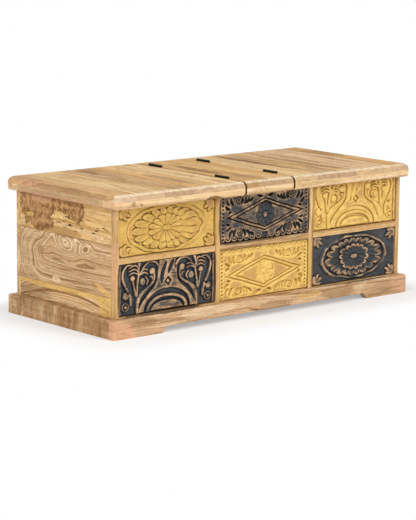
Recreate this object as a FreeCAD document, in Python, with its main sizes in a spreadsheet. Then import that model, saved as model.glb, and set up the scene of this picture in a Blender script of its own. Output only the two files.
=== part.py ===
import FreeCAD, Part
import math
import os
import re

from FreeCAD import Vector

# Trunk coffee table in solid wood: a plinth with cut-out feet, a chest whose front frame holds six
# carved panels, and a thick top whose two outer parts are lids hinged on the fixed middle strip.
# X runs along the front, Y from the front to the back and Z up. The origin is on the floor, under
# the middle of the chest. All sizes are in millimetres.

doc = FreeCAD.newDocument("trunk_coffee_table")

sizes = {
    # chest walls
    "body_length": 966,
    "body_depth": 404,
    "body_bottom": 20,
    "wall_height": 295,
    "wall_thickness": 16,
    "lower_board_height": 77,
    "middle_board_height": 129,
    # plinth boards, fixed round the foot of the walls
    "plinth_height": 48,
    "plinth_thickness": 18,
    "plinth_edge_radius": 4.5,
    "plinth_corner_radius": 7,
    "foot_length": 149,
    "foot_slope": 15,
    "cutout_height": 16,
    # front frame and the board behind it
    "frame_thickness": 16,
    "stile_width": 12,
    "mullion_width": 16,
    "bottom_rail_height": 30,
    "lower_panel_height": 130,
    "middle_rail_height": 15,
    "backing_thickness": 6,
    # carved panels
    "panel_gap": 0.8,
    "relief_depth": 4,
    "field_margin": 2.5,
    "ring_width": 8,
    "band_width": 5.5,
    "stem_width": 5,
    "berry_radius": 7,
    # floor of the chest
    "bottom_thickness": 10,
    "bottom_clearance": 0.5,
    "cleat_size": 20,
    "corner_block_size": 25,
    "corner_block_height": 200,
    # top: the fixed middle strip and the lids beside it
    "lid_overhang_end": 17,
    "lid_overhang_front": 23,
    "lid_board_thickness": 16,
    "lid_strip_thickness": 19,
    "lid_strip_width": 50,
    "lid_top_radius": 12,
    "lid_bottom_radius": 10,
    "lid_corner_radius": 8,
    "centre_length": 160,
    "centre_offset": 5,
    "bearer_width": 35,
    "seam_gap": 4,
    "seam_edge_radius": 6,
    # hinges on the seams
    "hinge_length": 50,
    "hinge_inset_front": 93,
    "hinge_inset_rear": 91,
    "barrel_rise": 3,
    "knuckle_radius": 3.3,
    "knuckle_gap": 0.3,
    "pin_radius": 1.5,
    "pin_clearance": 0.05,
    "leaf_thickness": 1.6,
    "leaf_height": 14,
}
# joints between the boards of the top, as shares of the length of the lid or strip they are in
left_joints = (0, 0.15, 0.37, 0.61, 0.82, 1)
centre_joints = (0, 0.26, 1)
right_joints = (0, 0.19, 0.52, 0.83, 1)
# counts and shares of the hinges and carvings
knuckles = 3
inner_petals = 14
outer_petals = 16
flower_petals = 8
fan_leaves = 5
palm_leaves = 2
scallops = 15
stud_sides = 6
petal_spread = 0.86

sheet = doc.addObject("Spreadsheet::Sheet", "Sizes")
for row, (word, size) in enumerate(sizes.items(), start=1):
    sheet.set(f"A{row}", word)
    sheet.set(f"B{row}", str(size))
    sheet.setAlias(f"B{row}", word)
doc.recompute()

# Places that several pieces share, as sums of the sizes.
half_length = "body_length / 2"
front_face = "-body_depth / 2"
rear_face = "body_depth / 2"
wall_top = "(body_bottom + wall_height)"
frame_back = f"({front_face} + frame_thickness)"
inner_front = f"({frame_back} + backing_thickness)"
inner_rear = f"({rear_face} - wall_thickness)"
inner_half = f"({half_length} - wall_thickness)"
bay_width = "((body_length - 2 * stile_width - 2 * mullion_width) / 3)"
lower_row = "(body_bottom + bottom_rail_height)"
rail_level = f"({lower_row} + lower_panel_height)"
upper_row = f"({rail_level} + middle_rail_height)"
upper_panel_height = f"({wall_top} - {upper_row})"
board_level = f"({wall_top} + lid_strip_thickness)"
top_face = f"({board_level} + lid_board_thickness)"
top_half_length = f"({half_length} + lid_overhang_end)"
top_half_depth = "(body_depth / 2 + lid_overhang_front)"
centre_left = "(-centre_length / 2 - centre_offset)"
centre_right = "(centre_length / 2 - centre_offset)"

pieces = []
origin = Vector(0, 0, 0)


def bind(obj, sums):
    """Ties properties of an object to sums of the sizes in the sheet."""
    for name, text in sums.items():
        cells = re.sub(r"[a-z_]+", lambda m: "Sizes." + m[0] if m[0] in sizes else m[0], text)
        obj.setExpression(name, cells)


def number(text):
    """The present value of a sum of the sizes."""
    return float(sheet.evalExpression(text))


def put(obj, place):
    """Ties the place of an object to three sums of the sizes."""
    bind(obj, {f"Placement.Base.{axis}": text for axis, text in zip("xyz", place)})


def keep(obj, label):
    """Names an object as one finished piece of the table."""
    obj.Label = label
    pieces.append(obj)
    return obj


def block(name, size, place):
    """A plain sawn piece."""
    box = doc.addObject("Part::Box", name)
    bind(box, dict(zip(("Length", "Width", "Height"), size)))
    put(box, place)
    return box


def rod(name, radius, length, place, turn):
    """A round piece whose axis is turned from Z."""
    cylinder = doc.addObject("Part::Cylinder", name)
    cylinder.Placement.Rotation = turn
    bind(cylinder, {"Radius": radius, "Height": length})
    put(cylinder, place)
    return cylinder


def group(name, members):
    """Like pieces that share one name."""
    joined = doc.addObject("Part::Compound", name)
    joined.Links = members
    return joined


def edges_at(shape, corner):
    """Names of the straight edges that lie on both of the faces in a corner such as -y+z."""
    box = shape.BoundBox
    near = 1e-3
    ends = {
        "-x": ("XMax", box.XMin), "+x": ("XMin", box.XMax),
        "-y": ("YMax", box.YMin), "+y": ("YMin", box.YMax),
        "-z": ("ZMax", box.ZMin), "+z": ("ZMin", box.ZMax),
    }
    faces = [ends[corner[:2]], ends[corner[2:]]]
    return [
        f"Edge{index}"
        for index, edge in enumerate(shape.Edges, start=1)
        if all(abs(getattr(edge.BoundBox, side) - end) < near for side, end in faces)
    ]


def front_sketch(body, name):
    """A sketch on the upright plane of a body that faces the front."""
    plane = next(feature for feature in body.Origin.OriginFeatures if feature.Role == "XZ_Plane")
    sketch = body.newObject("Sketcher::SketchObject", name)
    sketch.AttachmentSupport = [(plane, "")]
    sketch.MapMode = "FlatFace"
    return sketch


def polygon(points):
    """A closed outline of straight lines."""
    return [Part.LineSegment(start, end) for start, end in zip(points, points[1:] + points[:1])]


def rounded_board(name, size, place, passes):
    """A board with its edges rounded, one pass for each radius."""
    body = doc.addObject("PartDesign::Body", name)
    blank = body.newObject("PartDesign::AdditiveBox", name + "_blank")
    bind(blank, dict(zip(("Length", "Width", "Height"), size)))
    for corners, radius in passes:
        doc.recompute()
        worked = body.Tip
        edges = [edge for corner in corners for edge in edges_at(worked.Shape, corner)]
        fillet = body.newObject("PartDesign::Fillet", name + "_round")
        fillet.Base = (worked, edges)
        bind(fillet, {"Radius": radius})
    put(body, place)
    return body


# Plinth: front and rear boards run past the ends of the side boards and stand on two feet each.
plinth_length = "(body_length + 2 * plinth_thickness)"


def footed_board(name, outer, y):
    """A long plinth board with a low cut-out between its feet."""
    ends = [f"-x{outer}", f"+x{outer}"]
    passes = [(ends, "plinth_corner_radius"), ([f"{outer}+z"], "plinth_edge_radius")]
    size = (plinth_length, "plinth_thickness", "plinth_height")
    body = rounded_board(name, size, (f"-{plinth_length} / 2", y, "0"), passes)
    doc.recompute()
    sketch = front_sketch(body, name + "_feet")
    far = number(plinth_length)
    foot = number("foot_length")
    slope = number("foot_slope")
    rise = number("cutout_height")
    outline = [(foot, 0), (foot + slope, rise), (far - foot - slope, rise), (far - foot, 0)]
    for line in polygon([Vector(x, z, 0) for x, z in outline]):
        sketch.addGeometry(line, False)
    cut = body.newObject("PartDesign::Pocket", name + "_cutout")
    cut.Profile = sketch
    cut.Type = "ThroughAll"
    cut.Midplane = True
    return keep(body, name)


footed_board("plinth_front", "-y", f"{front_face} - plinth_thickness")
footed_board("plinth_rear", "+y", rear_face)
for side, outer, x in (("left", "-x", f"-{half_length} - plinth_thickness"), ("right", "+x", half_length)):
    size = ("plinth_thickness", "body_depth", "plinth_height")
    passes = [([f"{outer}+z"], "plinth_edge_radius")]
    keep(rounded_board(f"plinth_{side}", size, (x, front_face, "0"), passes), f"plinth_{side}")

# Walls: three boards a side, one above the other. The rear boards run the full length, and the end
# boards stand between them and the front frame.
upper_board_height = "(wall_height - lower_board_height - middle_board_height)"
courses = (
    ("lower", "lower_board_height", "body_bottom"),
    ("middle", "middle_board_height", "body_bottom + lower_board_height"),
    ("upper", upper_board_height, f"{wall_top} - {upper_board_height}"),
)
for course, height, level in courses:
    name = f"rear_board_{course}"
    keep(block(name, ("body_length", "wall_thickness", height), (f"-{half_length}", inner_rear, level)), name)
    for side, x in (("left", f"-{half_length}"), ("right", inner_half)):
        name = f"{side}_board_{course}"
        size = ("wall_thickness", f"{inner_rear} - {frame_back}", height)
        keep(block(name, size, (x, frame_back, level)), name)

# Front frame: uprights run from the foot of the wall to the lid, with short rails between them.
bays = (
    ("left", f"-{half_length} + stile_width"),
    ("centre", f"-{bay_width} / 2"),
    ("right", f"{bay_width} / 2 + mullion_width"),
)
uprights = (
    ("frame_stile_left", "stile_width", f"-{half_length}"),
    ("frame_mullion_left", "mullion_width", f"-{bay_width} / 2 - mullion_width"),
    ("frame_mullion_right", "mullion_width", f"{bay_width} / 2"),
    ("frame_stile_right", "stile_width", f"{half_length} - stile_width"),
)
for name, width, x in uprights:
    foot = "body_bottom" if "stile" in name else lower_row
    size = (width, "frame_thickness", f"{wall_top} - {foot}")
    keep(block(name, size, (x, front_face, foot)), name)
size = ("body_length - 2 * stile_width", "frame_thickness", "bottom_rail_height")
place = (f"-{half_length} + stile_width", front_face, "body_bottom")
keep(block("frame_bottom_rail", size, place), "frame_bottom_rail")
for bay, x in bays:
    size = (bay_width, "frame_thickness", "middle_rail_height")
    keep(block(f"frame_rail_{bay}", size, (x, front_face, rail_level)), f"frame_rail_{bay}")
size = (f"2 * {inner_half}", "backing_thickness", "wall_height")
keep(block("front_backing", size, (f"-{inner_half}", frame_back, "body_bottom")), "front_backing")


# Carved panels: a blank let into each bay of the frame, with the ornament standing up to the face
# of the frame. Places in the ornament are shares of the half width and half height of the field.
def carved_blank(name, height):
    """The ground of a panel, whose origin is in the middle of the sunk field."""
    body = doc.addObject("PartDesign::Body", name)
    blank = body.newObject("PartDesign::AdditiveBox", name + "_blank")
    bind(blank, {
        "Length": f"{bay_width} - 2 * panel_gap",
        "Width": "frame_thickness - relief_depth",
        "Height": f"{height} - 2 * panel_gap",
        "Placement.Base.x": f"panel_gap - {bay_width} / 2",
        "Placement.Base.z": f"panel_gap - {height} / 2",
    })
    return body


def relief(body, title, wires, share):
    """Raises closed outlines from the field, to a share of the depth of the carving."""
    sketch = front_sketch(body, f"{body.Name}_{title}_lines")
    for wire in wires:
        for curve in wire:
            sketch.addGeometry(curve, False)
    pad = body.newObject("PartDesign::Pad", f"{body.Name}_{title}")
    pad.Profile = sketch
    bind(pad, {"Length": f"{share} * relief_depth"})


def field(height):
    """Half width and half height of the part of a panel that carries the ornament."""
    edge = "panel_gap + field_margin"
    return number(f"{bay_width} / 2 - ({edge})"), number(f"{height} / 2 - ({edge})")


def disc(middle, radius):
    """A closed circle."""
    return [Part.Circle(middle, Vector(0, 0, 1), radius)]


def stud(middle, length, height):
    """A small round or oval boss with straight facets."""
    turns = [2 * math.pi * k / stud_sides for k in range(stud_sides)]
    return polygon([middle + Vector(length * math.cos(turn), height * math.sin(turn), 0) for turn in turns])


def leaf(root, tip, left, right):
    """A pointed leaf whose two edges stand off its line, to the left, by the given distances."""
    middle = (root + tip) * 0.5
    along = (tip - root).normalize()
    across = Vector(-along.y, along.x, 0)
    return polygon([root, middle + across * right, tip, middle + across * left])


def petals(at, count, root, shoulder, tip, shift):
    """A ring of pointed petals, widest at their shoulders. at() gives a point of the oval."""
    step = 2 * math.pi / count
    half = petal_spread * step / 2
    turns = [(k + shift) * step for k in range(count)]
    return [
        polygon([at(root, turn), at(shoulder, turn - half), at(tip, turn), at(shoulder, turn + half)])
        for turn in turns
    ]


def arc_band(start, through, end, width):
    """A band of even width that follows the circle through three points."""
    line = Part.Circle(start, through, end)
    middle = line.Center
    inside = 1 - width / 2 / line.Radius
    outside = 1 + width / 2 / line.Radius
    inner = [middle + (point - middle) * inside for point in (start, through, end)]
    outer = [middle + (point - middle) * outside for point in (start, through, end)]
    return [
        Part.Arc(*inner),
        Part.LineSegment(inner[2], outer[2]),
        Part.Arc(*outer[::-1]),
        Part.LineSegment(outer[0], inner[0]),
    ]


def half_oval(base, length, height):
    """A half oval that stands on a straight base."""
    curve = Part.Ellipse(base, length, height)
    return Part.ArcOfEllipse(curve, 0, math.pi)


def carve_rosette(body, height):
    """An oval ring round two rows of petals, with a sprig in each corner of the field."""
    wide, tall = field(height)
    ring = number("ring_width")
    length_share = 0.83
    a = wide * length_share
    b = tall
    relief(body, "ring", [[Part.Ellipse(origin, a, b)], [Part.Ellipse(origin, a - ring, b - ring)]], 1)

    def at(share, angle):
        return Vector((a - ring) * share * math.cos(angle), (b - ring) * share * math.sin(angle), 0)

    inner_row = petals(at, inner_petals, root=0.17, shoulder=0.40, tip=0.52, shift=0)
    outer_row = petals(at, outer_petals, root=0.55, shoulder=0.83, tip=0.96, shift=0.5)
    relief(body, "petals", inner_row + outer_row, 0.8)
    button_share = 0.12
    relief(body, "button", [stud(origin, a * button_share, b * button_share)], 1)
    sprigs = []
    sprig_length = 0.34 * tall
    sprig_width = 0.22 * tall
    for sx in (-1, 1):
        for sy in (-1, 1):
            corner = Vector(sx * wide, sy * tall, 0)
            along = Vector(-sx * sprig_length, -sy * sprig_width, 0)
            sprigs.append(leaf(corner, corner + along, sprig_width / 2, -sprig_width / 2))
    relief(body, "sprigs", sprigs, 0.7)


def carve_lozenge(body, height, up):
    """A double lozenge round a flower, with palmettes and a scalloped edge. up turns it over."""
    wide, tall = field(height)
    band = number("band_width")
    gap = band / 2
    length_share = 0.95
    height_share = 0.78
    half_height = tall * height_share
    slope = wide * length_share / half_height
    reach = math.hypot(1, slope)

    def lozenge(inset):
        y = half_height - inset * reach / slope
        x = y * slope
        return polygon([Vector(x, 0, 0), Vector(0, y, 0), Vector(-x, 0, 0), Vector(0, -y, 0)])

    relief(body, "outer_band", [lozenge(0), lozenge(band)], 1)
    relief(body, "inner_band", [lozenge(band + gap), lozenge(2 * band + gap)], 0.9)
    room = half_height * slope / reach - 2 * band - gap
    ring_share = 0.94
    radius = room * ring_share
    ring_inside = radius - gap
    relief(body, "flower_ring", [disc(origin, radius), disc(origin, ring_inside)], 0.8)

    def at(share, angle):
        return Vector(ring_inside * share * math.cos(angle), ring_inside * share * math.sin(angle), 0)

    flower = petals(at, flower_petals, root=0.32, shoulder=0.70, tip=0.95, shift=0.5)
    button_share = 0.24
    flower.append(stud(origin, radius * button_share, radius * button_share))
    relief(body, "flower", flower, 1)
    fan_x = 0.60 * wide
    fan_y = 0.98 * tall
    fan_reach = 0.50 * tall
    fan_spread = math.radians(128)
    leaf_width = 0.13 * fan_reach
    leaves = []
    for sx in (-1, 1):
        for sy in (-1, 1):
            eye = Vector(sx * fan_x, sy * fan_y, 0)
            for k in range(fan_leaves):
                turn = fan_spread * (k / (fan_leaves - 1) - 0.5)
                ray = Vector(math.sin(turn), -sy * math.cos(turn), 0) * fan_reach
                tip_share = 1 + 0.45 * abs(math.sin(turn))
                root_share = 0.35
                leaves.append(leaf(eye + ray * root_share, eye + ray * tip_share, leaf_width, -leaf_width))
    relief(body, "palmettes", leaves, 0.8)
    pitch = 2 * wide / scallops
    scallop = 0.42 * pitch
    line = up * (tall - scallop)
    between_fans = fan_x - fan_reach
    middles = [Vector((k + 0.5) * pitch - wide, line, 0) for k in range(scallops)]
    studs = [stud(middle, scallop, scallop) for middle in middles if abs(middle.x) < between_fans]
    relief(body, "scallops", studs, 0.7)


def carve_arch(body, height):
    """Nested arches under a small diamond, with scrolls, palms and berries on each side."""
    wide, tall = field(height)
    band = number("band_width")
    stem = number("stem_width")
    berry = number("berry_radius")
    base = Vector(0, -tall, 0)
    arch_length = 0.50 * wide
    arch_rise = 0.68 * tall
    outer = half_oval(base, arch_length, arch_rise)
    inner = half_oval(base, arch_length - band, arch_rise - band)
    left_foot = Part.LineSegment(outer.EndPoint, inner.EndPoint)
    right_foot = Part.LineSegment(inner.StartPoint, outer.StartPoint)
    core_share = 0.36
    core = half_oval(base, wide * core_share, tall * core_share)
    core_base = Part.LineSegment(core.EndPoint, core.StartPoint)
    relief(body, "arches", [[outer, left_foot, inner, right_foot], [core, core_base]], 1)

    def at(x, y):
        return Vector(x * wide, y * tall, 0)

    gem = 0.14 * tall
    points = [Vector(gem, 0, 0), Vector(0, gem, 0), Vector(-gem, 0, 0), Vector(0, -gem, 0)]
    relief(body, "diamond", [polygon([at(0, 0.12) + point for point in points])], 0.8)
    trunk_x = 0.585
    scrolls = []
    palms = []
    berries = []
    for side in (-1, 1):
        def spot(x, y):
            return at(side * x, y)

        scrolls.append(arc_band(spot(0.66, -0.96), spot(0.48, -0.22), spot(0.24, 0.16), stem))
        scrolls.append(leaf(spot(0.20, 0.26), spot(0.30, 0.96), side * stem, 0))
        scrolls.append(leaf(spot(0.86, 0.96), spot(0.78, -0.52), side * 2 * stem, side * stem))
        palms.append(leaf(spot(trunk_x, -0.30), spot(trunk_x, 0.40), stem / 2, -stem / 2))
        for k in range(palm_leaves):
            lift = 0.54 + 0.22 * k
            droop = 0.24
            span = 0.19
            bow = 0.16 * tall
            for out in (-1, 1):
                root = spot(trunk_x + out * stem / 2 / wide, lift)
                tip = spot(trunk_x + out * span, lift - droop)
                palms.append(leaf(root, tip, side * out * -bow * 1.25, side * out * -bow * 0.75))
        for x, y, share in ((0.37, 0.60, 1), (0.46, 0.08, 1), (0.91, -0.74, 1.3)):
            berries.append(stud(spot(x, y), share * berry, share * berry))
    relief(body, "scrolls", scrolls, 0.9)
    relief(body, "palms", palms, 0.8)
    relief(body, "berries", berries, 0.7)


panels = (
    ("panel_upper_left", "left", "upper", "rosette"),
    ("panel_upper_centre", "centre", "upper", "lozenge"),
    ("panel_upper_right", "right", "upper", "arch"),
    ("panel_lower_left", "left", "lower", "arch"),
    ("panel_lower_centre", "centre", "lower", "lozenge"),
    ("panel_lower_right", "right", "lower", "rosette"),
)
for name, bay, row, design in panels:
    height = upper_panel_height if row == "upper" else "lower_panel_height"
    level = upper_row if row == "upper" else lower_row
    body = carved_blank(name, height)
    if design == "rosette":
        carve_rosette(body, height)
    elif design == "lozenge":
        carve_lozenge(body, height, -1 if row == "upper" else 1)
    else:
        carve_arch(body, height)
    x = dict(bays)[bay]
    put(body, (f"{x} + {bay_width} / 2", f"{front_face} + relief_depth", f"{level} + {height} / 2"))
    keep(body, name)

# Floor of the chest: a panel on cleats fixed along the foot of the walls, and a glue block that
# stands on it in each corner.
floor_level = "(body_bottom + cleat_size)"
floor_top = f"({floor_level} + bottom_thickness)"
inner_depth = f"({inner_rear} - {inner_front})"
size = (
    f"2 * {inner_half} - 2 * bottom_clearance",
    f"{inner_depth} - 2 * bottom_clearance",
    "bottom_thickness",
)
place = (f"bottom_clearance - {inner_half}", f"{inner_front} + bottom_clearance", floor_level)
keep(block("bottom_panel", size, place), "bottom_panel")
cleats = []
for side, y in (("front", inner_front), ("rear", f"{inner_rear} - cleat_size")):
    size = (f"2 * {inner_half}", "cleat_size", "cleat_size")
    cleats.append(block(f"cleat_{side}", size, (f"-{inner_half}", y, "body_bottom")))
for side, x in (("left", f"-{inner_half}"), ("right", f"{inner_half} - cleat_size")):
    size = ("cleat_size", f"{inner_depth} - 2 * cleat_size", "cleat_size")
    cleats.append(block(f"cleat_{side}", size, (x, f"{inner_front} + cleat_size", "body_bottom")))
keep(group("cleats", cleats), "bottom_cleats")
blocks = []
for x in (f"-{inner_half}", f"{inner_half} - corner_block_size"):
    for y in (inner_front, f"{inner_rear} - corner_block_size"):
        size = ("corner_block_size", "corner_block_size", "corner_block_height")
        blocks.append(block("corner_block", size, (x, y, floor_top)))
keep(group("blocks", blocks), "corner_blocks")

# Hinges: a butt hinge stands in each seam, with its leaves on the edges of the boards and its barrel
# just above the top. The fixed leaf, the lid leaf and the pin are each made once, at the hinge axis,
# and repeated at the four hinges.
along_y = FreeCAD.Rotation(Vector(1, 0, 0), -90)
half_turn = FreeCAD.Rotation(Vector(0, 0, 1), 180)
half_hinge = "hinge_length / 2"
leaf_face = "(seam_gap / 2 - leaf_thickness)"
knuckle_length = f"((hinge_length - {knuckles - 1} * knuckle_gap) / {knuckles})"
knuckle_pitch = f"({knuckle_length} + knuckle_gap)"
leaf_top = "(-knuckle_radius - knuckle_gap)"


def hinge_leaf(name, first):
    """A leaf with every other knuckle, on the +X side of the hinge axis."""
    plate_size = ("leaf_thickness", "hinge_length", f"{leaf_top} + barrel_rise + leaf_height")
    parts = [block(name + "_plate", plate_size, (leaf_face, f"-{half_hinge}", "-barrel_rise - leaf_height"))]
    for k in range(first, knuckles, 2):
        y = f"{k} * {knuckle_pitch} - {half_hinge}"
        parts.append(rod(name + "_knuckle", "knuckle_radius", knuckle_length, ("0", y, "0"), along_y))
        web_size = ("leaf_thickness", knuckle_length, f"-{leaf_top}")
        parts.append(block(name + "_web", web_size, (leaf_face, y, leaf_top)))
    rolled = doc.addObject("Part::MultiFuse", name + "_rolled")
    rolled.Shapes = parts
    start = ("0", f"-{half_hinge}", "0")
    bored = doc.addObject("Part::Cut", name)
    bored.Base = rolled
    bored.Tool = rod(name + "_bore", "pin_radius + pin_clearance", "hinge_length", start, along_y)
    return bored


def copy_at(original, name, place, turn):
    """The same piece again at another place."""
    twin = doc.addObject("App::Link", name)
    twin.LinkedObject = original
    twin.Placement.Rotation = turn
    put(twin, place)
    return twin


hinge_places = (
    ("front", f"-{top_half_depth} + hinge_inset_front"),
    ("rear", f"{top_half_depth} - hinge_inset_rear"),
)
axis_level = f"({top_face} + barrel_rise)"
no_turn = FreeCAD.Rotation()
fixed_leaf = hinge_leaf("fixed_leaf", 0)
lid_leaf = hinge_leaf("lid_leaf", 1)
pin = rod("pin", "pin_radius", "hinge_length", ("0", "0", "0"), along_y)
leaves = {"fixed": [], "left": [], "right": []}
pins = []
seams = (
    ("left", f"{centre_left} - seam_gap / 2", no_turn, half_turn),
    ("right", f"{centre_right} + seam_gap / 2", half_turn, no_turn),
)
for side, x, into_centre, into_lid in seams:
    for end, y in hinge_places:
        place = (x, y, axis_level)
        pins.append(copy_at(pin, f"pin_{end}_{side}", (x, f"{y} - {half_hinge}", axis_level), along_y))
        leaves["fixed"].append(copy_at(fixed_leaf, f"fixed_leaf_{end}_{side}", place, into_centre))
        leaves[side].append(copy_at(lid_leaf, f"lid_leaf_{end}_{side}", place, into_lid))
for owner, members in leaves.items():
    keep(group(f"leaf_set_{owner}", members), f"hinge_leaves_{owner}")
keep(group("pin_set", pins), "hinge_pins")

# Top: boards that run from front to back over edge strips. The middle strip is fixed on the walls,
# and each lid ends in a batten beside it. Each of the three is glued up as a slab and then rounded as
# a whole, so its pieces are cut from the outline of the slab.
board_depth = f"(2 * {top_half_depth})"
strip_depth = f"({board_depth} - 2 * lid_strip_width)"
strip_back = f"({top_half_depth} - lid_strip_width)"
front_and_rear = [(["-y+z", "+y+z"], "lid_top_radius"), (["-y-z", "+y-z"], "lid_bottom_radius")]


def slab(name, start, length, roundings):
    """The outline of one slab of the top. Each rounding runs one way, and they meet in mitres."""
    size = (length, board_depth, "lid_strip_thickness + lid_board_thickness")
    place = (start, f"-{top_half_depth}", wall_top)
    ways = [rounded_board(f"{name}_way_{k}", size, place, passes) for k, passes in enumerate(roundings)]
    outline = doc.addObject("Part::MultiCommon", name)
    outline.Shapes = ways
    return outline


def piece_of(outline, label, size, place):
    """One board or strip, cut from the outline of its slab."""
    piece = doc.addObject("Part::Common", label)
    piece.Base = outline
    piece.Tool = block(label + "_sawn", size, place)
    return keep(piece, label)


def boards(outline, name, joints, start, length):
    """Boards side by side over the whole of a slab."""
    for k, (near, far) in enumerate(zip(joints, joints[1:]), start=1):
        size = (f"{length} * ({far} - {near})", board_depth, "lid_board_thickness")
        place = (f"{start} + {length} * {near}", f"-{top_half_depth}", board_level)
        piece_of(outline, f"{name}_{k}", size, place)


def strips(outline, name, start, length):
    """The edge strips under the boards, along the front and the rear of a slab."""
    for end, y in (("front", f"-{top_half_depth}"), ("rear", strip_back)):
        size = (length, "lid_strip_width", "lid_strip_thickness")
        piece_of(outline, f"{name}_{end}", size, (start, y, wall_top))


centre_slab = slab("centre_slab", centre_left, "centre_length", [front_and_rear, []])
boards(centre_slab, "centre_board", centre_joints, centre_left, "centre_length")
strips(centre_slab, "centre_strip", centre_left, "centre_length")
bearers = []
for side, x in (("left", centre_left), ("right", f"{centre_right} - bearer_width")):
    size = ("bearer_width", strip_depth, "lid_strip_thickness")
    bearers.append(block(f"bearer_{side}", size, (x, f"-{strip_back}", wall_top)))
keep(group("bearers", bearers), "centre_bearers")

lid_left_end = f"({centre_left} - seam_gap)"
lid_right_start = f"({centre_right} + seam_gap)"
lids = (
    ("left", f"-{top_half_length}", f"({lid_left_end} + {top_half_length})", "-x", "+x", left_joints),
    ("right", lid_right_start, f"({top_half_length} - {lid_right_start})", "+x", "-x", right_joints),
)
for side, start, lid_length, outer, inner, joints in lids:
    end_and_seam = [
        ([f"{outer}+z"], "lid_top_radius"),
        ([f"{outer}-z"], "lid_bottom_radius"),
        ([f"{inner}-z"], "seam_edge_radius"),
    ]
    corners = [([f"{outer}-y", f"{outer}+y"], "lid_corner_radius")]
    lid_slab = slab(f"lid_{side}_slab", start, lid_length, [front_and_rear, end_and_seam, corners])
    boards(lid_slab, f"lid_{side}_board", joints, start, lid_length)
    strips(lid_slab, f"lid_{side}_strip", start, lid_length)
    far_x = f"{start} + {lid_length} - lid_strip_width"
    outer_x, inner_x = (start, far_x) if side == "left" else (far_x, start)
    size = ("lid_strip_width", strip_depth, "lid_strip_thickness")
    piece_of(lid_slab, f"lid_{side}_strip_end", size, (outer_x, f"-{strip_back}", wall_top))
    piece_of(lid_slab, f"lid_{side}_batten", size, (inner_x, f"-{strip_back}", wall_top))

# Every object has to be sound before the pieces are written out.
doc.recompute()
failed = [obj.Name for obj in doc.Objects if {"Invalid", "Error"} & set(obj.State)]
broken = [piece.Label for piece in pieces if piece.Shape.isNull() or not piece.Shape.isValid()]
if failed or broken:
    raise RuntimeError(f"failed: {failed} broken: {broken}")
os.makedirs("parts", exist_ok=True)
for piece in pieces:
    piece.Shape.exportStep(f"parts/{piece.Label}.step")
print(f"{len(pieces)} pieces")
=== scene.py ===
import math

import bpy
import numpy as np
from mathutils import Matrix, Vector


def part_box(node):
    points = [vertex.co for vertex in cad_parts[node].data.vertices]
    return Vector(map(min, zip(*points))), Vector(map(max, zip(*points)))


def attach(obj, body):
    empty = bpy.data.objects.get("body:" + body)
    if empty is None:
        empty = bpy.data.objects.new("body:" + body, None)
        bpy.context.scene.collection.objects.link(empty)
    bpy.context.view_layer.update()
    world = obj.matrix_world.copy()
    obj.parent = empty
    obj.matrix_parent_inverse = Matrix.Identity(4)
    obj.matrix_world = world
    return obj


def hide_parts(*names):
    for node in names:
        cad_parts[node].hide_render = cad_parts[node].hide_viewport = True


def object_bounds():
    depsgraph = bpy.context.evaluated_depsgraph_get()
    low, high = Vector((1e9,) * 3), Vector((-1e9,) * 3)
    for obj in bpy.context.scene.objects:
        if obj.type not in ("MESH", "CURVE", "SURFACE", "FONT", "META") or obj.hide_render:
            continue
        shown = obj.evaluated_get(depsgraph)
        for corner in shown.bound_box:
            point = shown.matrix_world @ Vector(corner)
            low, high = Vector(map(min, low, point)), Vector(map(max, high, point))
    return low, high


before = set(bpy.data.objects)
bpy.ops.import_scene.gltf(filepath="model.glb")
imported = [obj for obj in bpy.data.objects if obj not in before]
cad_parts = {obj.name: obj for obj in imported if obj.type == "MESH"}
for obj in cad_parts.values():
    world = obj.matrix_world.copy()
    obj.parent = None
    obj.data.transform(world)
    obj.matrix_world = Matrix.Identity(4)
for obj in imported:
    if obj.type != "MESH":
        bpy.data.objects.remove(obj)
cad_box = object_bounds()
bpy.ops.object.select_all(action="DESELECT")


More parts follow.
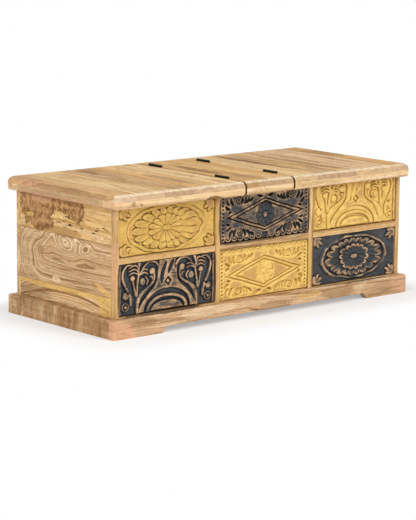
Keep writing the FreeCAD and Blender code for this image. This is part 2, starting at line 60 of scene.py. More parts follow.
# Plinth
# Four planed boards of pale mango wood stand on edge round the foot of the chest. The front and
# rear boards run through, so their end grain shows at the sides; feet are left by a long cut-out.
class Shade:
    """One value in a material's nodes. Sums on it add Math nodes."""

    def __init__(self, socket):
        self.socket = socket

    def node(self, kind, settings, sockets, output=0):
        """A further node: its settings first, then the values or links of its sockets."""
        tree = self.socket.id_data
        made = tree.nodes.new(kind)
        for name, setting in settings.items():
            setattr(made, name, setting)
        for key, value in sockets.items():
            if isinstance(value, Shade):
                tree.links.new(value.socket, made.inputs[key])
            else:
                made.inputs[key].default_value = value
        return Shade(made.outputs[output])

    def maths(self, operation, *others):
        """A Math node on this value and any others."""
        return self.node("ShaderNodeMath", {"operation": operation}, dict(enumerate((self, *others))))

    def __add__(self, other):
        return self.maths("ADD", other)

    __radd__ = __add__

    def __sub__(self, other):
        return self.maths("SUBTRACT", other)

    def __rsub__(self, other):
        return self.maths("MULTIPLY_ADD", -1.0, other)

    def __mul__(self, other):
        return self.maths("MULTIPLY", other)

    __rmul__ = __mul__

    def __truediv__(self, other):
        return self.maths("DIVIDE", other)

    def __pow__(self, power):
        return self.maths("POWER", power)

    def between(self, low, high):
        """0 up to low and 1 from high on, with a soft step; the other way round if low is more."""
        return self.node("ShaderNodeMapRange", {"interpolation_type": "SMOOTHSTEP"},
                         {"Value": self, "From Min": low, "From Max": high})

    def axis(self, letter):
        return self.node("ShaderNodeSeparateXYZ", {}, {"Vector": self}, letter)

    def moved(self, scale, shift=(0, 0, 0)):
        return self.node("ShaderNodeMapping", {},
                         {"Vector": self, "Scale": scale, "Location": shift})

    def length(self):
        return self.node("ShaderNodeVectorMath", {"operation": "LENGTH"}, {0: self}, "Value")

    def noise(self, scale, detail=2.0, rough=0.5):
        return self.node("ShaderNodeTexNoise", {},
                         {"Vector": self, "Scale": scale, "Detail": detail, "Roughness": rough})

    def bands(self, detail=3.0, rough=0.55):
        """Uneven bands along a value, as growth rings follow the distance from the heart."""
        return self.node("ShaderNodeTexNoise", {"noise_dimensions": "1D"},
                         {"W": self, "Scale": 1.0, "Detail": detail, "Roughness": rough})

    def blend(self, first, second):
        """A colour between two, by this value."""
        return self.node("ShaderNodeMix", {"data_type": "RGBA"},
                         {0: self, 6: first, 7: second}, 2)

    def bump(self, strength, distance):
        return self.node("ShaderNodeBump", {},
                         {"Height": self, "Strength": strength, "Distance": distance})


def colour(red, green, blue):
    """A colour as a paint card gives it, 0 to 255, in the linear values that a shader takes."""
    return tuple((part / 255) ** 2.2 for part in (red, green, blue)) + (1.0,)


def toned(tone, share):
    """The same colour, darker or lighter by a share."""
    return tuple(part * share for part in tone[:3]) + (1.0,)


def new_finish(name):
    """A new material, its shader, and the Object coordinates that its pattern is drawn on."""
    material = bpy.data.materials.new(name)
    material.use_nodes = True
    nodes = material.node_tree.nodes
    place = Shade(nodes.new("ShaderNodeTexCoord").outputs["Object"])
    return material, nodes["Principled BSDF"], place


def feed(shader, **sockets):
    """Links values to a shader's sockets, in whose names _ stands for a space."""
    for name, value in sockets.items():
        plug = shader.inputs[name.replace("_", " ")]
        shader.id_data.links.new(value.socket, plug)


mango_light = colour(226, 191, 143)
mango_tan = colour(206, 166, 116)
mango_grey = colour(164, 130, 94)
mango_brown = colour(120, 82, 48)
mango_pink = colour(214, 163, 128)
mango_gold = colour(222, 178, 106)
mango_cream = colour(240, 212, 170)
mango_pore = colour(70, 45, 26)
spalt_grey = colour(124, 87, 56)
spalt_tan = colour(190, 146, 98)
joint_half = 0.001


def timber(name, along, seed, light=mango_light, tan=mango_tan, heart=mango_grey, heartwood=0.4,
           ring=0.008, lines=0.55, pith=(0.05, -0.09), bow=0.0, turn=9.0, wander=0.06, curl=0.0,
           knots=(), spalt=(), stains=(), flecks=(), joints=()):
    """Planed mango wood with its grain along one axis.

    heartwood is how much of it is dark, ring the width of a growth band, lines how strongly the
    bands show, pith where the heart of the tree lies across the grain, bow how far the bands arch
    along the board, turn the place along it past which they turn back, wander how far they stray,
    curl how strong the ripples across the grain are.
    knots are (along, across, reach, lean, eye), spalt (centre, radii), flecks (centre, radii),
    stains (centre, radii, colour, strength, fray, lean if any), joints (axis, place)."""
    material, shader, place = new_finish(name)
    across_1, across_2 = {"X": "YZ", "Y": "XZ", "Z": "XY"}[along]
    offset = tuple(np.random.default_rng(seed).uniform(-20, 20, 3))
    run = place.axis(along)
    side = place.axis(across_2)

    def stretched(share):
        return place.moved([share if letter == along else 1.0 for letter in "XYZ"], offset)

    def leaning(middle_run, middle_side, lean, long):
        """How far each place lies from a spot that is drawn out along a leaning line."""
        from_run, from_side = run - middle_run, side - middle_side
        length = (from_run * math.cos(lean) + from_side * math.sin(lean)) * long
        breadth = from_side * math.cos(lean) - from_run * math.sin(lean)
        return (length * length + breadth * breadth) ** 0.5

    def spot(centre, radii, lean=0.0):
        """How far from a spot's middle each place lies, 1 at its edge."""
        if lean:
            first, second = "XYZ".index(along), "XYZ".index(across_2)
            away = leaning(centre[first], centre[second], lean, radii[second] / radii[first])
            return away / radii[second]
        return place.moved([1 / reach for reach in radii],
                           [-middle / reach for middle, reach in zip(centre, radii)]).length()

    flow = stretched(0.10).noise(9.0, 3.0) - 0.5
    ripple = stretched(0.28).noise(46.0, 3.0, 0.6) - 0.5
    heart_1 = place.axis(across_1) - pith[0]
    heart_2 = side - pith[1] + run * run * bow
    past = (run - turn).maths("MAXIMUM", 0.0) * 0.8
    radius = (heart_1 * heart_1 + heart_2 * heart_2 + past * past) ** 0.5
    radius = radius + flow * wander + ripple * 0.007
    eyes = None
    for knot_run, knot_side, reach, lean, eye_size in knots:
        apart = leaning(knot_run, knot_side, lean, 0.6) + ripple * 0.006
        hold = apart.between(reach, reach * 0.3)
        radius = radius * (1 - hold) + (abs(knot_side - pith[1]) - apart) * hold
        eye = apart.between(eye_size, eye_size * 0.4)
        eyes = eye if eyes is None else eyes + eye
    growth = (radius * (1 / ring) + seed).bands(4.0, 0.62)
    fine_growth = (radius * (4 / ring) + seed).bands(3.0, 0.62)
    phase = radius * (1 / ring) + growth * 2.5
    season = phase.maths("FRACT")
    strong = (phase * 0.41).bands(2.0).between(0.38, 0.62)
    line = season.between(0.45, 0.97) * season.between(1.0, 0.97) * strong
    streak = stretched(0.05).noise(85.0, 4.0, 0.64)
    fibre = stretched(0.025).noise(480.0, 2.0, 0.6)
    pores = stretched(0.14).noise(900.0, 1.0, 0.5).between(0.60, 0.70)
    cloud = stretched(0.20).noise(15.0, 4.0, 0.62)
    mottle = stretched(0.40).noise(62.0, 4.0, 0.68)
    ragged = stretched(0.45).noise(60.0, 6.0, 0.72) - 0.5
    swirls = (stretched(0.5).noise(70.0, 4.0, 0.65) + growth * 0.6).between(0.60, 0.95)
    dashes = stretched(0.22).noise(190.0, 2.0, 0.5).between(0.60, 0.66)
    dark = cloud + (growth - 0.5) * 0.7 + (streak - 0.5) * 0.6
    wood = (growth * 0.55 + streak * 0.45).between(0.40, 0.60).blend(tan, light)
    wood = (dark.between(0.80 - heartwood * 0.5, 0.90 - heartwood * 0.5) * 0.85).blend(wood, heart)
    for mask, strength, tint in (
            (growth.between(0.44, 0.30), lines, mango_brown),
            (growth.between(0.56, 0.68), lines, mango_cream),
            (line, lines, mango_brown),
            (fine_growth.between(0.44, 0.30), lines * 0.7, mango_brown),
            (streak.between(0.43, 0.28), lines, mango_brown),
            (streak.between(0.56, 0.70), 0.45, mango_cream),
            (mottle.between(0.52, 0.70), 0.28, mango_brown)):
        wood = (mask * strength).blend(wood, tint)
    if curl:
        bent = place.moved([1.0 if letter == along else 0.25 for letter in "XYZ"], offset)
        ripples = bent.noise(48.0, 2.0, 0.6) * 0.5 + bent.noise(110.0, 4.0, 0.66) * 0.5
        wood = (ripples.between(0.48, 0.62) * curl).blend(wood, mango_brown)
        wood = (ripples.between(0.48, 0.36) * (curl * 0.7)).blend(wood, mango_cream)
    if spalt:
        edge = spot(*spalt[0])
        for patch in spalt[1:]:
            edge = edge.maths("MINIMUM", spot(*patch))
        edge = edge + (place.noise(46.0, 6.0, 0.74) - 0.5) * 2.0
        rot = (place.noise(75.0, 5.0, 0.72) * 0.75 + growth * 0.25).between(0.40, 0.60)
        wood = edge.between(1.05, 0.95).blend(wood, rot.blend(spalt_grey, spalt_tan))
        wood = (edge.between(0.82, 0.98) * edge.between(1.10, 1.02) * 0.9).blend(wood, mango_brown)
    for centre, radii, shade, strength, fray, *lean in stains:
        mask = (spot(centre, radii, *lean) + ragged * fray).between(1.05, 0.85)
        wood = (mask * strength).blend(wood, swirls.blend(toned(shade, 0.78), shade))
    for centre, radii in flecks:
        wood = (dashes * spot(centre, radii).between(1.1, 0.8) * 0.9).blend(wood, mango_pore)
    wood = (fibre.between(0.48, 0.30) * 0.30).blend(wood, mango_brown)
    wood = (pores * 0.38).blend(wood, mango_pore)
    if eyes is not None:
        wood = (eyes * 0.8).blend(wood, mango_pore)
    for letter, edge in joints:
        gap = (place.axis(letter) - edge) ** 2
        wood = (gap.between(joint_half ** 2, joint_half ** 2 / 10) * 0.55).blend(wood, mango_pore)
    shader.inputs["Specular IOR Level"].default_value = 0.04
    feed(shader, Base_Color=wood, Roughness=0.52 + fibre * 0.16 + pores * 0.12,
         Normal=(fibre * 0.5 + growth * 0.4 + streak * 0.3 - pores * 0.8).bump(0.45, 0.0007))
    return material


def dress(finish, *nodes):
    """Gives CAD pieces a finish in place of the plain one they come with."""
    for node in nodes:
        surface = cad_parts[node].data
        surface.materials.clear()
        surface.materials.append(finish)


def dress_in_timber(node, *cut, **figure):
    """Gives a CAD piece a timber of its own; its cut and figure go to timber as they are."""
    dress(timber(node + "_wood", *cut, **figure), node)


def face_marks(axis, level, depth, *marks):
    """Marks on a face that lies across one axis, from their places and reaches on that face."""
    order = "XYZ".index(axis)

    def filled(pair, third):
        return (*pair[:order], third, *pair[order:])

    return [(filled(place, level), filled(reach, depth), *rest) for place, reach, *rest in marks]


plinth_low, plinth_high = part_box("plinth_front")
# The plinth's tones are a little darker than the walls' as painted shade, since the foot of the chest gets
# less light.
plinth_light = colour(216, 180, 142)
plinth_tan = colour(196, 158, 122)
smear_black = colour(70, 60, 52)
figure_depth = 0.05
smear_thickness = 0.004
plinth_figure = face_marks(
    "Y", plinth_low.y, figure_depth,
    ((-0.42, 0.034), (0.07, 0.014), mango_grey, 0.6, 1.6),
    ((-0.33, 0.031), (0.085, 0.006), mango_brown, 0.45, 2.0, -0.06),
    ((-0.20, 0.036), (0.10, 0.012), mango_cream, 0.5, 1.6),
    ((0.02, 0.026), (0.07, 0.012), mango_brown, 0.4, 2.4),
    ((0.245, 0.030), (0.075, 0.018), mango_grey, 0.75, 2.6),
    ((0.32, 0.030), (0.045, 0.012), mango_cream, 0.25, 2.8, 0.7),
    ((0.14, 0.036), (0.05, 0.010), mango_gold, 0.5, 2.0),
    ((0.42, 0.026), (0.05, 0.014), mango_brown, 0.25, 2.8))
plinth_smears = face_marks(
    "Z", plinth_high.z, smear_thickness,
    ((-0.33, plinth_high.y), (0.13, 0.016), smear_black, 0.75, 2.0),
    ((0.32, plinth_high.y), (0.14, 0.013), smear_black, 0.7, 2.0))
foot_blush = (0.07, 0.05, 0.05)
foot_blushes = (
    (plinth_low, foot_blush, mango_pink, 0.75, 0.9),
    ((plinth_high.x, plinth_low.y, plinth_high.z), foot_blush, mango_pink, 0.6, 0.9))
end_blush = (plinth_low, (0.03, 0.03, 0.04), mango_pink, 0.6, 0.8)
dress_in_timber("plinth_front", "X", 11, plinth_light, plinth_tan, heartwood=0.45, pith=(-0.30, -0.03),
                wander=0.12, stains=(*plinth_figure, *plinth_smears, *foot_blushes))
dress_in_timber("plinth_rear", "X", 12, plinth_light, plinth_tan, heartwood=0.5, pith=(0.30, 0.08))
# The left board's tones are darker still: partly its own browner figure, partly painted shade on the
# plinth's side.
dress_in_timber("plinth_left", "Y", 13, colour(176, 140, 102), colour(162, 126, 89), heartwood=0.1,
                lines=0.05, pith=(-0.42, 0.06), curl=0.5, stains=(end_blush,))
dress_in_timber("plinth_right", "Y", 14, plinth_light, plinth_tan, heartwood=0.4, pith=(0.36, 0.01),
                curl=0.3)


# Walls
# Each end wall and the rear wall is three wide boards, edge glued, with the grain lying level.
# The left end is the showy one: a spalted top board over a board with a knot that swirls.
left_low, left_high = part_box("left_board_middle")
wall_joints = (("Z", left_low.z), ("Z", left_high.z))
stain_depth = 0.03


def left_marks(depth, *marks):
    """Marks on the outer face of the left end."""
    return face_marks("X", left_low.x, depth, *marks)


dress_in_timber(
    "left_board_upper", "Y", 21, colour(227, 187, 130), colour(207, 165, 106), heartwood=0.05, ring=0.012,
    lines=0.30, pith=(-0.30, 0.20), joints=wall_joints,
    spalt=left_marks(
        figure_depth,
        ((0.120, 0.290), (0.075, 0.034)),
        ((0.100, 0.250), (0.055, 0.022)),
        ((0.030, 0.306), (0.085, 0.022)),
        ((-0.050, 0.292), (0.030, 0.026))),
    stains=left_marks(
        stain_depth,
        ((0.100, 0.310), (0.045, 0.016), mango_pink, 0.7, 1.0),
        ((0.143, 0.262), (0.018, 0.005), mango_gold, 0.9, 1.0)),
    flecks=left_marks(stain_depth, ((-0.07, 0.258), (0.12, 0.020)), ((0.03, 0.256), (0.07, 0.024))))
dress_in_timber(
    "left_board_middle", "Y", 22, colour(216, 180, 138), colour(190, 152, 112), colour(156, 119, 84),
    heartwood=0.50, ring=0.0085, lines=0.7, pith=(-0.478, 0.160), turn=0.085, wander=0.05,
    joints=wall_joints,
    knots=((-0.003, 0.209, 0.070, 0.30, 0.0030), (-0.085, 0.202, 0.026, -0.30, 0.0040)),
    stains=left_marks(
        stain_depth,
        ((-0.006, 0.210), (0.036, 0.014), mango_cream, 0.40, 1.2),
        ((0.100, 0.178), (0.016, 0.012), mango_brown, 0.4, 1.6),
        ((-0.158, 0.110), (0.042, 0.008), mango_gold, 0.9, 0.8, 0.42),
        ((0.036, 0.110), (0.018, 0.009), mango_cream, 0.7, 2.6)))
dress_in_timber(
    "left_board_lower", "Y", 23, colour(226, 188, 138), colour(202, 162, 116), colour(154, 118, 84),
    heartwood=0.5, lines=0.85, pith=(-0.45, 0.00), bow=0.9, joints=wall_joints,
    stains=left_marks(
        stain_depth,
        ((0.13, 0.066), (0.06, 0.015), mango_brown, 0.3, 2.2),
        ((-0.02, 0.093), (0.26, 0.010), mango_gold, 0.85, 1.0),
        ((-0.19, 0.070), (0.06, 0.030), mango_gold, 0.8, 1.8),
        ((0.10, 0.048), (0.26, 0.006), mango_brown, 0.6, 2.0)))
for tier, (board, right_heartwood, right_knots, rear_heartwood, rear_knots) in enumerate((
        ("lower", 0.5, (), 0.35, ()),
        ("middle", 0.3, ((0.05, 0.14, 0.060, 0.2, 0.003),), 0.6, ()),
        ("upper", 0.6, (), 0.3, ((-0.22, 0.27, 0.050, -0.2, 0.003),)))):
    dress_in_timber(f"right_board_{board}", "Y", 31 + tier, heartwood=right_heartwood,
                    pith=(0.40, 0.10 + 0.08 * tier), knots=right_knots, joints=wall_joints)
    dress_in_timber(f"rear_board_{board}", "X", 41 + tier, heartwood=rear_heartwood, ring=0.009,
                    pith=(0.30, 0.06 + 0.09 * tier), knots=rear_knots, joints=wall_joints)


# Front frame
# Slim stiles, mullions and rails of the same wood hold the carved panels in two rows of three. They
# are planed and left pale. The left stile is rubbed pinkish, and paint has run over from the panels.
frame_light = colour(214, 176, 122)
frame_tan = colour(192, 150, 96)
smear_ochre = colour(206, 166, 90)
smear_depth = 0.02
stile_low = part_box("frame_stile_left")[0]


def panel_edges(letter, *panels):
    """The joints along the edges of some panels, across one axis."""
    order = "XYZ".index(letter)
    return [(letter, corner[order]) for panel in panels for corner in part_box("panel_" + panel)]


def smear(panel, side, breadth, shade):
    """Paint that ran over a panel's edge on to the frame: side 0 is its left edge, 1 its right."""
    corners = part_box("panel_" + panel)
    middle = (corners[0].z + corners[1].z) / 2
    return (corners[side].x, middle), (breadth, corners[1].z - middle), shade, 0.85, 0.8


rail_edges = panel_edges("Z", "upper_left", "lower_left")
post_edges = panel_edges("X", "upper_left", "upper_centre", "upper_right")
for seed, (node, along, heartwood, *marks) in enumerate((
        ("stile_left", "Z", 0.40,
         ((stile_low.x, 0.17), (0.02, 0.07), mango_pink, 0.5, 1.0),
         smear("lower_left", 0, 0.006, smear_black)),
        ("stile_right", "Z", 0.40),
        ("mullion_left", "Z", 0.60,
         smear("upper_left", 1, 0.003, smear_ochre),
         smear("upper_centre", 0, 0.005, smear_black),
         smear("lower_left", 1, 0.005, smear_black),
         smear("lower_centre", 0, 0.004, smear_ochre)),
        ("mullion_right", "Z", 0.45,
         smear("upper_centre", 1, 0.003, smear_black),
         smear("upper_right", 0, 0.004, smear_ochre),
         smear("lower_centre", 1, 0.013, smear_ochre),
         smear("lower_right", 0, 0.003, smear_black)),
        ("rail_left", "X", 0.30),
        ("rail_centre", "X", 0.80, ((-0.06, rail_edges[0][1]), (0.12, 0.006), smear_black, 0.6, 1.8)),
        ("rail_right", "X", 0.35),
        ("bottom_rail", "X", 0.50, ((-0.33, 0.049), (0.13, 0.004), smear_black, 0.75, 2.5))), 51):
    dress_in_timber("frame_" + node, along, seed, frame_light, frame_tan, heartwood=heartwood,
                    stains=face_marks("Y", stile_low.y, smear_depth, *marks),
                    joints=rail_edges if along == "X" else post_edges)


# Carved panels
# Six thick blocks are carved by hand with gouge and veiner, and painted ochre or black. The black is
# rubbed off the high edges, and the thicker ochre off the flats. The frame's openings hold them.
to_mm = 1000
cut_pitch = 0.9
cut_depth = 1.4
face_level = -0.25
ground_level = -4.6
lowest_cut = -9.5
highest_wood = -0.05


class Carving:
    """A block's face as heights over a grid, in millimetres from its middle; 0 is the frame's face."""

    def __init__(self, width, height, seed):
        self.half_width = width / 2
        self.half_height = height / 2
        self.columns = round(width / cut_pitch)
        self.rows = round(height / cut_pitch)
        span = np.linspace(-self.half_width, self.half_width, self.columns + 1)
        rise = np.linspace(-self.half_height, self.half_height, self.rows + 1)
        self.flat_x, self.flat_z = np.meshgrid(span, rise)
        turns = np.random.default_rng(seed).uniform(0, 2 * math.pi, 4)
        sway_x = 0.5 * np.sin(0.09 * self.flat_z + turns[0]) + 0.5 * np.sin(0.05 * self.flat_x + turns[1])
        sway_z = 0.4 * np.sin(0.06 * self.flat_x + turns[2]) + 0.2 * np.sin(0.13 * self.flat_x + turns[3])
        self.x = self.flat_x + sway_x
        self.z = self.flat_z + sway_z
        self.height = np.full(self.x.shape, ground_level)

    def fall(self, inside, bevel):
        """1 well inside an edge, 0 outside it, rounded over the bevel."""
        share = np.clip(inside / bevel, 0, 1)
        return np.sqrt(share * (2 - share))

    def raised(self, inside, top, bevel):
        """Wood left standing where inside is more than 0."""
        standing = ground_level + (top - ground_level) * self.fall(inside, bevel)
        self.height = np.maximum(self.height, np.where(inside > 0, standing, ground_level))

    def sunk(self, inside, depth, bevel):
        """Wood cut away where inside is more than 0."""
        self.height = self.height - depth * self.fall(inside, bevel)

    def path(self, points):
        """The distance to a smooth line through a few points, and how far along it lies."""
        points = np.array(points, float)
        if len(points) > 2:
            before = np.vstack([2 * points[0] - points[1], points[:-1]])
            after = np.vstack([points[1:], 2 * points[-1] - points[-2]])
            lead = (after - before) / 6
            share = np.linspace(0, 1, 7)[:-1, None]
            runs = []
            for start, end, lead_in, lead_out in zip(points[:-1], points[1:], lead[:-1], lead[1:]):
                rest = 1 - share
                runs.append(rest ** 3 * start + 3 * rest ** 2 * share * (start + lead_in)
                            + 3 * rest * share ** 2 * (end - lead_out) + share ** 3 * end)
            points = np.vstack(runs + [points[-1:]])
        nearest = np.full(self.x.shape, 1e9)
        along = np.zeros(self.x.shape)
        for order, (start, end) in enumerate(zip(points[:-1], points[1:])):
            step_x, step_z = end - start
            from_x, from_z = self.x - start[0], self.z - start[1]
            share = np.clip((from_x * step_x + from_z * step_z) / (step_x ** 2 + step_z ** 2), 0, 1)
            away = np.hypot(from_x - share * step_x, from_z - share * step_z)
            along = np.where(away < nearest, (order + share) / (len(points) - 1), along)
            nearest = np.minimum(nearest, away)
        return nearest, along

    def away(self, centre):
        """The distance to a point."""
        return np.hypot(self.x - centre[0], self.z - centre[1])

    def inside_leaf(self, points, width):
        """How far inside a leaf along a line, widest in the middle, each spot lies."""
        away, along = self.path(points)
        return width / 2 * np.sqrt(4 * along * (1 - along)) - away

    def ridge(self, points, widths, top=face_level):
        """A standing stem or band along a line, with its widths from one end to the other."""
        away, along = self.path(points)
        half = np.interp(along, np.linspace(0, 1, len(widths)), widths) / 2
        self.raised(half - away, top, half)

    def gouge(self, points, width, depth):
        """A leaf-shaped hollow along a line."""
        self.sunk(self.inside_leaf(points, width), depth, width / 2)

    def knob(self, centre, radius):
        self.raised(radius - self.away(centre), face_level, radius * 0.6)

    def ring_cut(self, centre, radius, width, depth):
        self.sunk(width / 2 - np.abs(self.away(centre) - radius), depth, width / 2)

    def petals(self, half_x, half_z, count, root, tip, dish, seed):
        """A ring of scooped petals round the middle, with a rim at each tip and a cut between."""
        cut_width, cut_drop, edge_width = 1.6, 3.2, 1.2
        chance = np.random.default_rng(seed)
        reach = np.hypot(self.x / half_x, self.z / half_z)
        turn = np.arctan2(self.z * math.sqrt(half_x / half_z), self.x)
        turn = turn + 0.05 * np.sin(3 * turn + chance.uniform(0, 6)) + chance.uniform(0, 6)
        place = (turn / (2 * math.pi) * count) % count
        petal = place.astype(int) % count
        from_middle = np.abs(2 * (place % 1) - 1)
        long = (1 + chance.uniform(-0.05, 0.04, count))[petal]
        out = reach / (long * (1 - 0.17 * from_middle ** chance.uniform(1.6, 3.0, count)[petal]))
        size = math.sqrt(half_x * half_z)
        cut = np.clip((1 - from_middle) * math.pi * size * out / count / cut_width, 0, 1)
        rim = np.exp(-((out - 0.87) / 0.13) ** 2)
        bowl = np.exp(-((out - 0.62) / 0.22) ** 2) * (1 - from_middle ** 2)
        level = root + (tip - root) * (0.5 * np.clip(out, 0, 1) ** 1.6 + 0.5 * rim)
        level = level - dish * bowl - cut_drop * (1 - cut)
        edge = np.clip((1 - out) * size / edge_width, 0, 1)
        self.height = np.where(out < 1, self.height * (1 - edge) + level * edge, self.height)

    def worn_edges(self, seed, paint_fill):
        """Rounds the block's rim, leaves tool marks, and finds what is worn and what lies in hollows or at
        the rim, for grime and painted shade.

        Thin paint wears off the high edges; thick paint, which fills the carving, wears off the flats."""
        corner, rim_width, rim_drop, tool_mark = 7.0, 3.0, 2.4, 0.35
        past_x = np.maximum(np.abs(self.flat_x) - self.half_width + corner, 0)
        past_z = np.maximum(np.abs(self.flat_z) - self.half_height + corner, 0)
        rim = np.clip((corner - np.hypot(past_x, past_z)) / rim_width, 0, 1)
        self.height = self.height - rim_drop * (1 - rim) ** 2
        marks = np.random.default_rng(seed).normal(0, 1, self.height.shape)
        self.height = self.height + tool_mark * softened(marks, 2.0)
        narrow = self.height - softened(self.height, 1.8)
        broad = self.height - softened(self.height, 5.0)
        high = np.clip((self.height + 2.2) / 1.8, 0, 1)
        # The cuts are marked for darkening below: partly grime in them, partly painted shade.
        if paint_fill:
            worn = high * np.clip(1.15 - 1.2 * np.abs(narrow) - 0.5 * np.abs(broad), 0, 1)
            grime_and_shade = -0.95 * narrow
        else:
            worn = 0.62 * high + 0.25 * broad + 0.30 * narrow
            grime_and_shade = -0.95 * narrow - 0.30 * broad
        self.height = np.clip(self.height * cut_depth, lowest_cut, highest_wood)
        # Near the rim, where the block meets the frame, the same mark darkens the edge as painted shade.
        return {"worn": np.clip(worn, 0, 1), "grime_and_shade": np.clip(grime_and_shade + 1.5 * (1 - rim) ** 3, 0, 1)}


def softened(heights, reach):
    """Heights smoothed over a reach in millimetres."""
    spread = reach / cut_pitch
    half = int(3 * spread)
    weights = np.exp(-0.5 * (np.arange(-half, half + 1) / spread) ** 2)
    weights = weights / weights.sum()
    for _ in range(2):
        padded = np.pad(heights, ((half, half), (0, 0)), mode="edge")
        rows = heights.shape[0]
        heights = sum(weight * padded[row:row + rows] for row, weight in enumerate(weights)).T
    return heights


def uneven(angle, seed):
    """A slow change round a circle, from about -1 to 1, as of a line cut by hand."""
    phases = np.random.default_rng(seed).uniform(0, 2 * math.pi, 4)
    return sum(np.sin(times * angle + phase) for times, phase in zip((2, 5, 9, 14), phases)) / 2


def carve_rosette(block, seed):
    """Two rings of petals in an oval frame, with a leaf sprig in each corner."""
    crest_x, crest_z = 114.0, min(55.0, block.half_height - 5.0)
    corner_level = -2.6
    leaf_width = 12.0
    reach = np.hypot(block.x / crest_x, block.z / crest_z)
    angle = np.arctan2(block.z * 2, block.x)
    flank = np.cos(angle) ** 2
    out = (reach - 1) * crest_z * (1 + (crest_x / crest_z - 1) * flank) + 1.3 * uneven(angle, seed)
    bank = 6.0 + 6.5 * flank
    inner_bank = 4.0 + 1.5 * uneven(angle, seed + 7)
    crest = face_level - 1.2 * np.clip(uneven(angle, seed + 3), 0, 1)
    slope = 1.3 + 0.5 * uneven(angle, seed + 5)
    outside = crest + (corner_level - crest) * np.clip(out / bank, 0, 1) ** slope
    inside = crest + (ground_level - crest) * np.clip(-out / inner_bank, 0, 1) ** 1.3
    block.height = np.where(out > 0, outside, inside)
    block.sunk(1.2 - np.abs(out - bank), 1.8 * np.clip(0.4 - uneven(angle / 2, seed + 9), 0, 1), 1.2)
    block.petals(107.0, crest_z * 0.95, 19, -4.4, -0.3, 1.0, seed)
    block.petals(57.0, crest_z * 0.65, 14, -3.4, face_level, 1.2, seed + 1)
    block.raised((1.0 - np.hypot(block.x / 13.0, block.z / 7.0)) * 6, face_level, 4.0)
    for side in (-1, 1):
        for end in (-1, 1):
            root = (side * (block.half_width - 5), end * (block.half_height - 4))
            sprig = np.full(block.x.shape, -1e9)
            for lean, length in ((4, 26), (30, 35), (57, 32), (84, 22)):
                turn = math.radians(lean)
                tip = (root[0] - side * length * math.cos(turn), root[1] - end * length * math.sin(turn))
                leaf = block.inside_leaf([root, tip], leaf_width)
                block.raised(leaf, face_level, leaf_width / 3)
                sprig = np.maximum(sprig, leaf)
            block.sunk(1.5 - np.abs(sprig + 0.7), 2.6, 1.5)


def carve_lozenge(block, seed):
    """A flower in a double lozenge, with palmettes in the corners and a scalloped edge."""
    field_level = -0.8
    line_half, line_depth = 1.8, 3.8
    middle = 4.0
    petal_count = 9
    flower_radius = 30.5
    eye_radius = 8.0
    block.height[:] = field_level
    for half_x, half_z in ((127.0, 41.0), (97.0, 33.0)):
        steep = math.hypot(1 / half_x, 1 / half_z)
        away = (np.abs(block.x) / half_x + np.abs(block.z - middle) / half_z - 1) / steep
        block.sunk(line_half - np.abs(away), line_depth, line_half)
    block.height = block.height + 0.5 * np.clip((-away - 2) / 6, 0, 1)
    centre = (0.0, middle - 1.5)
    radius = block.away(centre)
    angle = np.arctan2(block.z - centre[1], block.x - centre[0])
    sector = np.abs(2 * ((angle / (2 * math.pi) * petal_count) % 1) - 1)
    scallop = 2.6 * sector ** 2
    block.sunk(1.6 - np.abs(radius - flower_radius + scallop), 2.8 + 1.4 * uneven(angle, seed), 1.6)
    block.sunk(np.minimum(28.2 - scallop - radius, radius - eye_radius), 2.3, 3.5)
    block.sunk(np.where(radius < 28, 0.9 - (1 - sector) * radius * 0.34, -1.0), 1.8, 0.9)
    block.ring_cut(centre, eye_radius, 3.2, 2.2)
    block.knob(centre, 6.4)
    for side in (-1, 1):
        for eye in ((side * 89.0, 46.5), (side * 84.0, -35.5)):
            block.ring_cut(eye, 8.6, 3.2, 3.4)
            block.ring_cut(eye, 3.0, 3.0, 2.6)
        for start, bend, end, width in (
                ((128, 50), (127, 42), (119, 34), 7), ((115, 54), (114, 43), (106, 34), 8),
                ((77, 54), (75, 45), (80, 35), 7), ((66, 53), (65, 44), (71, 35), 8),
                ((54, 52), (56, 44), (64, 37), 7), ((40, 52), (45, 46), (55, 41), 6),
                ((120, -46), (117, -36), (107, -28), 9), ((105, -46), (104, -36), (97, -26), 9),
                ((68, -46), (67, -37), (74, -26), 9), ((52, -46), (54, -38), (63, -30), 8),
                ((37, -47), (42, -42), (51, -37), 7), ((132, -30), (122, -25), (113, -20), 6),
                ((134, 36), (128, 28), (118, 25), 8), ((126, 13), (120, 17), (112, 18), 5),
                ((131, -10), (125, -14), (117, -15), 5), ((28, 55), (18, 51), (8, 51), 6)):
            block.gouge([(side * x, z) for x, z in (start, bend, end)], width + 1.2, 5.2)
        for height in np.arange(-block.half_height + 9, block.half_height - 4, 9.5):
            block.gouge([(side * 138.0, height), (side * 145.0, height + 1)], 5.2, 4.0)
            block.gouge([(side * 147.5, height + 4), (side * 151.5, height + 4)], 3.6, 2.6)
        foot = -block.half_height + 12
        lobes = np.full(block.x.shape, 1e9)
        for spot in np.arange(22.0, 150.0, 20.5):
            lobes = np.minimum(lobes, block.away((side * spot, foot)))
        here = (side * block.x > 11) & (block.z < foot + 1)
        block.sunk(np.where(here, lobes - 9.6, -1.0), 4.4, 2.5)
        block.sunk(np.where(here, 1.7 - np.abs(lobes - 5.2), -1.0), 2.6, 1.7)
    block.sunk(np.minimum(10 - np.abs(block.x), -41 - block.z), 3.6, 3.0)


